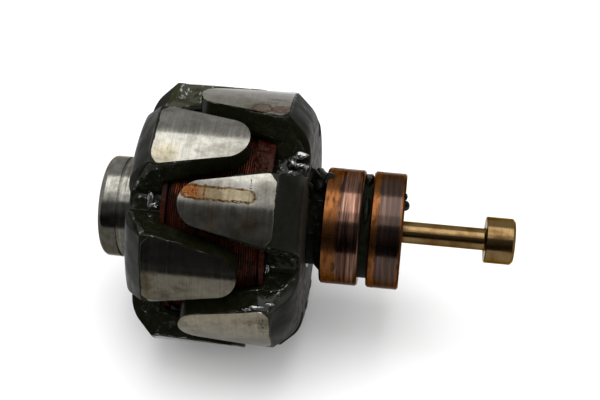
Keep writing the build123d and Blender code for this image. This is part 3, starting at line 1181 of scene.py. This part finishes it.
@dataclass
class WallRun:
    """Resin that has run down the wall of a lobe beside a valley."""

    angle: float
    side: float
    end_face: float
    inner_face: float
    seed: float
    bevel_start: float = 26.7
    bevel_slope: float = 0.617
    margin: float = 0.35
    plate_radius: float = 29.9
    plate_ramp: float = 0.6
    claw_reach: float = 10.0
    foot: float = 25.4
    top: float = 36.0
    film: float = 0.26
    bedded: float = 0.12
    edge_rate: float = 8.0
    swell: float = 0.34
    swell_size: float = 3.6
    froth_size: float = 4.5
    bubble: float = 0.30
    bubble_size: float = 1.0
    sunk: float = 1.0
    rim: float = 36.6
    reach: float = 14.0
    rows: int = 46
    columns: int = 36

    def add_to(self, made: Shape, wall: BVHTree) -> None:
        """Lay a lumpy film on the wall and add it to a shape.

        Args:
            made: Shape that takes the film.
            wall: The pole's surface, for finding the wall.
        """
        turn = math.radians(self.angle)
        across = Vector((0.0, math.sin(turn), math.cos(turn))) * self.side
        inward = 1.0 if self.inner_face > self.end_face else -1.0
        verts = sheet(made, self.rows, self.columns)
        missed = []
        for vert in verts:
            along, rise = (vert.co.x + 1.0) / 2.0, (vert.co.y + 1.0) / 2.0
            edge = min(1.0, self.edge_rate * min(along, 1.0 - along, rise, 1.0 - rise))
            radius = between(self.foot, self.top, rise)
            bevel = self.bevel_slope * max(0.0, radius - self.bevel_start)
            outer = self.end_face + inward * (self.margin + bevel)
            past_plate = min(1.0, max(0.0, (radius - self.plate_radius) / self.plate_ramp))
            inner = self.inner_face + inward * self.claw_reach * past_plate
            start = on_rotor(between(outer, inner, along), self.angle, radius)
            place, normal, _, _ = wall.ray_cast(start, across, self.reach * MM)
            if place is None:
                missed.append(vert)
                continue
            wave = self.swell * (0.5 + lump(place, self.swell_size, self.seed))
            frothy = max(0.0, lump(place, self.froth_size, self.seed + 7.0))
            bubbles = self.bubble * frothy * abs(lump(place, self.bubble_size, self.seed + 3.0))
            height = edge * (self.film + max(0.0, wave) + bubbles) - self.bedded
            skin = place + normal * (height * MM if normal.dot(across) < 0.0 else -height * MM)
            share = min(1.0, self.rim * MM / math.hypot(skin.y, skin.z))
            vert.co = (skin.x, skin.y * share, skin.z * share)
        bmesh.ops.delete(made, geom=missed, context="VERTS")
        loose = [vert for vert in verts if vert.is_valid and not vert.link_faces]
        bmesh.ops.delete(made, geom=loose, context="VERTS")
        kept = [vert for vert in verts if vert.is_valid]
        back_sheet(made, kept, self.sunk, self.side * self.sunk)


@dataclass(frozen=True)
class Blob:
    """Rounded drop of resin, flattened and uneven."""

    axial: float
    angle: float
    radius: float
    half_axial: float
    half_arc: float
    half_depth: float
    seed: float
    uneven: float = 0.28
    lump_scale: float = 1.4
    roundness: int = 3

    def add_to(self, made: Shape) -> None:
        """Add the drop to a shape.

        Args:
            made: Shape that takes the drop.
        """
        ball = bmesh.ops.create_icosphere(made, subdivisions=self.roundness, radius=1.0)
        shift = Vector((self.seed, 2.0 * self.seed, 0.0))
        for vert in ball["verts"]:
            swell = 1.0 + self.uneven * noise.noise(vert.co * self.lump_scale + shift)
            along, across, out = vert.co * swell
            radius = self.radius + out * self.half_depth
            angle = self.angle + math.degrees(across * self.half_arc / self.radius)
            vert.co = on_rotor(self.axial + along * self.half_axial, angle, radius)


@dataclass
class NeckResin:
    """Resin that was run round the neck between the ring-end pole and the first slip ring."""

    start: float = 58.1
    end: float = 62.6
    start_radius: float = 14.9
    end_radius: float = 12.6
    first_angle: float = 25.0
    last_angle: float = 155.0
    sunk: float = 1.6
    uneven: float = 0.7
    lump_size: float = 3.4
    fine_size: float = 1.5
    fine_share: float = 0.35
    side_rate: float = 9.0
    side_drop: float = 3.0
    rows: int = 14
    columns: int = 90

    def shape(self) -> Shape:
        """Make the lumpy cone.

        Returns:
            The closed cone.
        """
        made = bmesh.new()
        verts = sheet(made, self.rows, self.columns)
        for vert in verts:
            along, round_it = (vert.co.x + 1.0) / 2.0, (vert.co.y + 1.0) / 2.0
            axial = between(self.start, self.end, along)
            angle = between(self.first_angle, self.last_angle, round_it)
            radius = between(self.start_radius, self.end_radius, math.sin(along * math.pi / 2.0))
            ground = on_rotor(axial, angle, radius)
            fine = self.fine_share * lump(ground, self.fine_size, 2.0)
            radius += self.uneven * (lump(ground, self.lump_size, 7.0) + fine)
            sides = min(1.0, (1.0 - abs(vert.co.y)) * self.side_rate)
            radius -= self.side_drop * (1.0 - sides) ** 2
            vert.co = on_rotor(axial, angle, radius)
        back_sheet(made, verts, self.sunk)
        return made


@dataclass
class InsulationTab:
    """Crumpled strip of insulation that stands up beside the coil under a claw."""

    start: float = 44.2
    end: float = 48.8
    first_angle: float = 64.0
    last_angle: float = 90.0
    radius: float = 28.6
    ragged: float = 0.22
    ragged_scale: float = 2.2
    crumple: float = 0.55
    fold_size: float = 1.9
    crease_size: float = 0.8
    crease_share: float = 0.6
    thickness: float = 0.3
    rows: int = 26
    columns: int = 40

    def shape(self) -> Shape:
        """Crumple a sheet and give it thickness.

        Returns:
            The closed strip.
        """
        made = bmesh.new()
        for vert in sheet(made, self.rows, self.columns):
            ragged = 1.0 + self.ragged * noise.noise(Vector((vert.co.y * self.ragged_scale, 0.0, 5.0)))
            axial = between(self.end, self.start, (1.0 - vert.co.x) / 2.0 * ragged)
            angle = between(self.first_angle, self.last_angle, (vert.co.y + 1.0) / 2.0)
            ground = on_rotor(axial, angle, self.radius)
            crease = self.crease_share * lump(ground, self.crease_size, 9.1)
            fold = self.crumple * (lump(ground, self.fold_size, 4.3) + crease)
            vert.co = on_rotor(axial, angle, self.radius + fold)
        bmesh.ops.recalc_face_normals(made, faces=made.faces)
        bmesh.ops.solidify(made, geom=made.faces[:], thickness=self.thickness * MM)
        return made


def claw_stains() -> tuple[Stain, ...]:
    """List the stains of the claw faces and a patch of painted shade, in the order in which they lie on one
    another.

    Returns:
        The stains; the colours of clear ones multiply the steel below.
    """
    cream = (1.12, 1.00, 0.73)
    pale_gold = (1.0, 0.92, 0.74)
    gold = (0.98, 0.86, 0.66)
    dull_gold = (0.88, 0.79, 0.64)
    beige = (0.96, 0.88, 0.72)
    ivory = (0.95, 0.91, 0.82)
    # Painted shade: tint that dims the lower half of the claw at 15 degrees.
    lower_half_shade = (0.52, 0.49, 0.43)
    tan = (0.100, 0.066, 0.034)
    amber = (0.085, 0.034, 0.0085)
    pink = (0.078, 0.034, 0.022)
    red_brown = (0.046, 0.0135, 0.0046)
    dark_rust = (0.045, 0.0085, 0.0012)
    brown = (0.034, 0.0105, 0.0022)
    soot = (0.022, 0.017, 0.012)
    black = (0.006, 0.005, 0.004)
    return (
        Stain(37.1, 49.6, 9.8, 1.95, 1.5, cream, 1.0, 1.0, end_tint=1.0, clear=True, rim=0.62),
        Stain(35.0, 49.4, 7.0, 1.5, 3.0, amber, 0.22),
        Stain(33.6, 49.8, 0.20, 1.9, 2.2, brown, 0.75, 0.5),
        Stain(30.2, 50.0, 2.4, 1.5, 2.0, dark_rust, 0.9, speckled=True),
        Stain(45.4, 55.4, 0.45, 3.0, 0.8, black, 1.0, speckled=True),
        Stain(44.4, 94.6, 2.9, 2.5, 3.6, tan, 0.7, 1.0, red_brown, rim=0.8),
        Stain(49.9, 94.4, 2.9, 2.0, 5.0, pink, 0.9, 0.6, red_brown, rim=0.6, soft=0.6),
        Stain(48.2, 103.2, 2.4, 0.55, 1.4, soot, 0.9),
        Stain(48.8, 112.6, 3.2, 0.70, 1.6, soot, 0.9),
        Stain(45.6, 99.4, 2.6, 0.35, 1.4, soot, 0.7),
        Stain(40.0, 105.0, 18.0, 9.0, 2.0, ivory, 1.0, clear=True),
        # Painted shade over the lower half of the claw face at 15 degrees.
        Stain(27.0, 9.0, 22.0, 5.4, 1.5, lower_half_shade, 1.0, clear=True, soft=1.0),
        Stain(45.0, 38.0, 4.0, 3.2, 4.0, gold, 0.9, clear=True, soft=3.0),
        Stain(36.0, 39.0, 1.6, 4.0, 3.0, gold, 0.9, clear=True, soft=1.6),
        Stain(39.0, -15.0, 24.0, 9.0, 2.0, beige, 1.0, clear=True),
        Stain(50.0, -9.0, 1.5, 3.8, 2.4, black, 1.0, speckled=True, soft=1.2),
        Stain(46.6, -7.0, 1.0, 2.2, 2.0, soot, 0.95, speckled=True, soft=1.0),
        Stain(38.0, -11.0, 6.0, 1.4, 3.0, soot, 0.4, speckled=True, soft=1.5),
        Stain(19.6, 8.0, 1.6, 4.6, 2.0, dull_gold, 0.9, clear=True, soft=2.0),
        Stain(21.6, 64.5, 4.6, 4.2, 3.0, pale_gold, 0.9, clear=True, soft=4.0),
    )


@dataclass(frozen=True)
class PoleEnd:
    """Valleys of one pole: where their floors start and end along the axis, and where their walls end."""

    name: str
    pole: str
    first_angle: float
    start: float
    end: float
    wall_end: float
    valleys: int = 6


@dataclass
class RotorDress:
    """All finishes and added pieces of the rotor."""

    shop: Workshop
    drive_end: PoleEnd = PoleEnd("drive_end_resin", "drive_end_claw_pole", 45.0, 12.0, 21.6, 20.6)
    ring_end: PoleEnd = PoleEnd("ring_end_resin", "ring_end_claw_pole", 15.0, 58.1, 48.5, 49.5)
    thin_pool: float = 0.25
    thick_pool: float = 1.1
    thin_below: float = 50.0
    pool_seed: float = 2.3
    run_seed: float = 1.7
    drops: tuple[Blob, ...] = (
        Blob(60.4, 97.0, 15.4, 2.3, 4.6, 1.9, 8.3),
        Blob(62.5, 92.0, 15.9, 0.9, 2.3, 0.9, 0.4),
        Blob(63.3, 98.0, 16.4, 1.2, 1.6, 0.45, 5.2),
        Blob(60.7, 47.0, 12.5, 1.0, 1.6, 0.9, 1.7),
        Blob(61.4, 38.0, 12.6, 0.9, 1.2, 0.8, 2.9),
        Blob(74.2, 62.0, 14.4, 0.9, 4.2, 0.8, 3.3),
        Blob(74.1, 120.0, 14.4, 1.3, 5.6, 1.3, 6.4),
        Blob(84.5, 79.0, 15.6, 0.5, 1.0, 0.8, 7.7),
        Blob(58.3, -72.0, 25.8, 0.5, 3.2, 1.4, 2.2),
        Blob(58.3, -94.0, 26.0, 0.4, 2.0, 1.1, 5.9),
        Blob(58.3, -120.0, 25.8, 0.6, 2.8, 1.3, 9.1),
    )
    beads: tuple[Blob, ...] = (
        Blob(53.8, 78.5, 26.2, 1.4, 2.1, 1.3, 1.1, 0.5),
        Blob(55.9, 81.8, 27.2, 1.9, 1.0, 1.1, 4.4, 0.5),
        Blob(56.2, 76.0, 25.9, 1.9, 1.0, 1.0, 7.2, 0.5),
        Blob(48.6, 0.5, 35.4, 2.2, 0.55, 0.6, 3.6, 0.5),
        Blob(51.4, 1.4, 34.4, 1.6, 0.5, 0.5, 6.8, 0.5),
        Blob(46.0, -0.5, 35.9, 1.3, 0.4, 0.35, 2.1, 0.5),
        Blob(17.4, 48.0, 25.2, 0.9, 2.8, 0.7, 5.3, 0.7),
        Blob(18.6, 43.0, 25.2, 1.3, 1.0, 0.6, 2.5, 0.7),
        Blob(49.6, 9.0, 25.9, 0.8, 2.2, 0.8, 8.6, 0.5),
    )

    def build(self) -> None:
        """Finish the nodes, then add the pieces."""
        self._metal()
        board = self.shop.paint(
            BoardFinish("varnished_board", coat_weight=0.03),
            "bobbin_tube", "drive_end_bobbin_flange", "ring_end_bobbin_flange",
        )
        self._coil()
        self._resin()
        self.shop.piece("insulation_tab", InsulationTab().shape(), board, Slot.PRESSBOARD)

    def _metal(self) -> None:
        """Finish the steel, copper and zinc."""
        self.shop.paint(
            ClawFinish("claw_steel", coat_roughness=0.12, stains=claw_stains()),
            "drive_end_claw_pole", "ring_end_claw_pole",
        )
        self.shop.paint(HubFinish("hub_steel", edge_tint=(0.55, 0.54, 0.50)), "hub_sleeve", "pole_core")
        self.shop.paint(
            CopperFinish("ring_copper", edge_tint=(0.52, 0.44, 0.40)), "inner_slip_ring", "outer_slip_ring"
        )
        self.shop.paint(BoltFinish("bolt_zinc", edge_tint=(0.55, 0.45, 0.32)), "clamp_bolt")

    def _coil(self) -> None:
        """Replace the plain coil by turns of wire."""
        wire = self.shop.paint(WireFinish("enamelled_wire", coat_weight=0.02), "field_winding")
        low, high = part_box("field_winding")
        coil = FieldCoil(low.x / MM, high.x / MM, high.z / MM)
        turns = self.shop.piece("winding_turns", coil.shape(), wire, Slot.WIRE)
        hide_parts("field_winding")

    def _resin(self) -> None:
        """Finish resin and mouldings, and add resin in the valleys, round the neck and on the rings."""
        black = self.shop.paint(
            ResinFinish(
                "black_resin", coat_weight=1.0, coat_roughness=0.04, shine=0.07, dry_coat=0.03,
                coat_density=1.8,
            )
        )
        olive = self.shop.paint(
            ResinFinish(
                "olive_resin", coat_weight=1.0, coat_roughness=0.05, resin=(0.0048, 0.0051, 0.0026),
                dust=(0.0088, 0.0095, 0.0046), shine=0.05, dry_coat=0.05, coat_density=1.8, thick_share=0.7,
            )
        )
        dull = self.shop.paint(
            ResinFinish(
                "dull_resin", coat_weight=0.03, coat_roughness=0.05, resin=(0.0030, 0.0030, 0.0020),
                dust=(0.0056, 0.0056, 0.0038), gloss=0.24, dull=0.5, shine=0.05,
            ),
            "start_solder_joint", "finish_solder_joint", "start_lead", "finish_lead",
        )
        self.shop.paint(
            ResinFinish("moulded_insulator", gloss=0.40, dull=0.60, lump_height=0.05, shine=0.02),
            "slip_ring_carrier", "start_lead_sleeve", "finish_lead_sleeve",
        )
        wet = self.shop.paint(
            ResinFinish(
                "wet_resin", coat_weight=1.0, coat_roughness=0.02, gloss=0.03, dull=0.06, lump_height=0.05,
                density=1.8, dry_coat=1.0, coat_density=1.8,
            )
        )
        self._valleys(self.drive_end, olive, olive)
        self._valleys(self.ring_end, black, olive)
        self.shop.piece("neck_resin", NeckResin().shape(), dull, Slot.INSULATOR)
        for name, blobs, resin in (("resin_drops", self.drops, dull), ("wet_resin_beads", self.beads, wet)):
            shape = bmesh.new()
            for blob in blobs:
                blob.add_to(shape)
            self.shop.piece(name, shape, resin, Slot.INSULATOR)

    def _valleys(self, end: PoleEnd, floor: bpy.types.Material, walls: bpy.types.Material) -> None:
        """Add the resin in one pole's valleys.

        Args:
            end: The pole's valleys.
            floor: Resin of the pools on their floors.
            walls: Resin of the runs on their walls.
        """
        pools, runs = bmesh.new(), bmesh.new()
        surface = BVHTree.FromObject(self.shop.nodes[end.pole], bpy.context.evaluated_depsgraph_get())
        for index in range(end.valleys):
            angle = end.first_angle + index * CLAW_PITCH
            depth = self.thin_pool if angle < self.thin_below else self.thick_pool
            ResinPool(angle, end.start, end.end, self.pool_seed * index + end.start, depth).add_to(pools)
            for side in (-1.0, 1.0):
                seed = self.run_seed * index + side + end.start
                WallRun(angle, side, end.start, end.wall_end, seed).add_to(runs, surface)
        self.shop.piece(f"{end.name}_pools", pools, floor, Slot.INSULATOR)
        self.shop.piece(f"{end.name}_runs", runs, walls, Slot.INSULATOR)


def main() -> None:
    """Dress the rotor and set it in the studio."""
    logging.basicConfig(level=logging.INFO, format="%(name)s: %(message)s")
    bpy.ops.wm.read_factory_settings(use_empty=True)
    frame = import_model()
    claw_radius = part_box("drive_end_claw_pole")[1].z / MM
    Studio().build()
    shop = Workshop(frame["nodes"], SharedEffects(claw_radius))
    RotorDress(shop).build()


if __name__ == "__main__":
    main()
